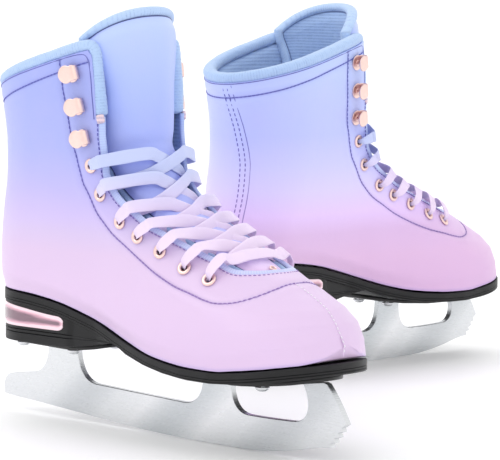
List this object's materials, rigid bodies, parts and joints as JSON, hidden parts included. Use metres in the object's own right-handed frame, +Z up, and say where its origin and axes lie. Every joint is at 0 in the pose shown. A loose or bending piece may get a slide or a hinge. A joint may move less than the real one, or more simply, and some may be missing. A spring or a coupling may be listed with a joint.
{
  "type": "pair of figure skates",
  "caption": "Pair of lace-up figure skates: high padded boots with laces and speed hooks, black heeled soles and screwed-on steel blades with toe picks.",
  "frame": {"origin": "on the floor under the middle of the bounding box of the pair", "axes": "+X towards the toe of the right skate, +Y towards the toe of the left skate, +Z up from the ice"},
  "size_m": [0.3145, 0.4915, 0.2495],
  "materials": {
    "upper_leather": "smooth coated synthetic leather, fading from periwinkle blue at the cuff to pale pink at the sole",
    "lining_plush": "pale blue brushed lining over foam",
    "collar_plush": "short-pile plush roll, pale blue",
    "tongue_leather": "padded coated synthetic leather with a plush edge",
    "lace_cord": "flat woven polyester",
    "footbed": "knit cloth over foam",
    "sole_black": "satin black moulded sole and heel",
    "heel_window_clear": "pink translucent plastic",
    "blade_steel": "bright ground steel",
    "plate_black": "black enamel",
    "screw_steel": "plated steel",
    "rose_gold": "pale rose-gold plating"
  },
  "bodies": {
    "right_skate": {"r_blade": "blade_steel", "r_collar_binding": "collar_plush", "r_eyelets_inner": "rose_gold", "r_eyelets_outer": "rose_gold", "r_heel_plate": "plate_black", "r_heel_screw_1": "screw_steel", "r_heel_screw_2": "screw_steel", "r_heel_screw_3": "screw_steel", "r_heel_screw_4": "screw_steel", "r_heel_window": "heel_window_clear", "r_hook_inner_1": "rose_gold", "r_hook_inner_2": "rose_gold", "r_hook_inner_3": "rose_gold", "r_hook_outer_1": "rose_gold", "r_hook_outer_2": "rose_gold", "r_hook_outer_3": "rose_gold", "r_insole": "footbed", "r_lace": "lace_cord", "r_lining": "lining_plush", "r_outsole": "sole_black", "r_sole_plate": "plate_black", "r_sole_screw_1": "screw_steel", "r_sole_screw_2": "screw_steel", "r_sole_screw_3": "screw_steel", "r_sole_screw_4": "screw_steel", "r_tongue_lower": "tongue_leather", "r_upper": "upper_leather"},
    "right_tongue": {"r_tongue_upper": "tongue_leather"},
    "left_skate": {"l_blade": "blade_steel", "l_collar_binding": "collar_plush", "l_eyelets_inner": "rose_gold", "l_eyelets_outer": "rose_gold", "l_heel_plate": "plate_black", "l_heel_screw_1": "screw_steel", "l_heel_screw_2": "screw_steel", "l_heel_screw_3": "screw_steel", "l_heel_screw_4": "screw_steel", "l_heel_window": "heel_window_clear", "l_hook_inner_1": "rose_gold", "l_hook_inner_2": "rose_gold", "l_hook_inner_3": "rose_gold", "l_hook_outer_1": "rose_gold", "l_hook_outer_2": "rose_gold", "l_hook_outer_3": "rose_gold", "l_insole": "footbed", "l_lace": "lace_cord", "l_lining": "lining_plush", "l_outsole": "sole_black", "l_sole_plate": "plate_black", "l_sole_screw_1": "screw_steel", "l_sole_screw_2": "screw_steel", "l_sole_screw_3": "screw_steel", "l_sole_screw_4": "screw_steel", "l_tongue_lower": "tongue_leather", "l_upper": "upper_leather"},
    "left_tongue": {"l_tongue_upper": "tongue_leather"}
  },
  "joints": [
    {"name": "left_lift", "type": "slide", "parent": "right_skate", "child": "left_skate", "axis": [0, 0, 1], "range_m": [0, 0.3]},
    {"name": "right_tongue_flex", "type": "hinge", "parent": "right_skate", "child": "right_tongue", "pos_m": [0.01086, -0.19764, 0.1715], "axis": [0, 1, 0], "range_deg": [0, 30], "stiffness_Nm_per_rad": 0.05},
    {"name": "left_tongue_flex", "type": "hinge", "parent": "left_skate", "child": "left_tongue", "pos_m": [-0.10914, 0.09936, 0.1715], "axis": [-1, 0, 0], "range_deg": [0, 30], "stiffness_Nm_per_rad": 0.05}
  ]
}
